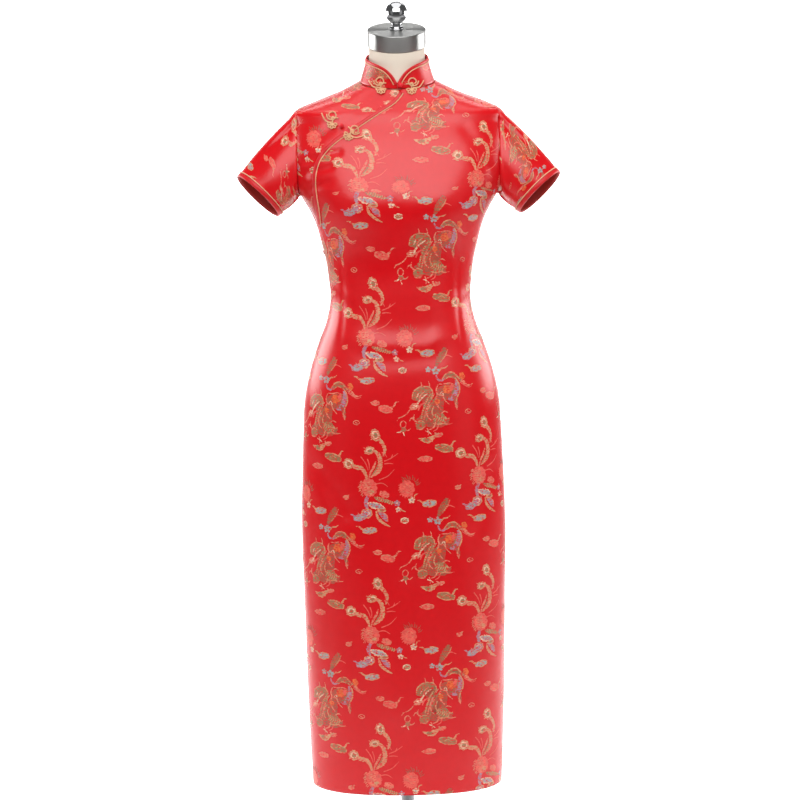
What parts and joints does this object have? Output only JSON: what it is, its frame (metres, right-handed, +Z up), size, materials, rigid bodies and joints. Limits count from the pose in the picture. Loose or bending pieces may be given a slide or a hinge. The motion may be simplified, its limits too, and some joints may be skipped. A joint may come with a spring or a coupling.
{
  "type": "cheongsam dress on a dress form",
  "caption": "Long short-sleeved cheongsam with stand collar, curved front flap, corded frogs and side slits, on a limbless dress form with a round base.",
  "frame": {"origin": "on the floor under the middle of the stand's round base", "axes": "+Z up; the dress's front faces -Y; the wearer's left is +X"},
  "size_m": [0.5844, 0.34, 1.5708],
  "materials": {
    "brocade": "red satin brocade with coloured weft motifs",
    "binding": "plain red satin bias strip",
    "gold_cord": "twisted metallic gold cord",
    "form_cover": "ivory jersey stretched over padding",
    "cap_steel": "spun and brushed",
    "knob_chrome": "polished",
    "stand_steel": "satin"
  },
  "bodies": {
    "root": {"front_panel": "brocade", "front_underlap": "brocade", "back_panel": "brocade", "sleeve_left": "brocade", "sleeve_right": "brocade", "collar": "brocade", "collar_binding": "binding", "collar_piping": "gold_cord", "flap_binding": "binding", "flap_piping": "gold_cord", "cuff_binding_left": "binding", "cuff_binding_right": "binding", "cuff_piping_left": "gold_cord", "cuff_piping_right": "gold_cord", "frog_collar_left": "gold_cord", "frog_collar_right": "gold_cord", "frog_chest_left": "gold_cord", "frog_chest_right": "gold_cord", "knot_collar": "binding", "knot_chest": "gold_cord", "form_torso": "form_cover", "neck_cap": "cap_steel", "cap_knob": "knob_chrome", "stand_pole": "stand_steel", "stand_base": "stand_steel"}
  },
  "joints": []
}
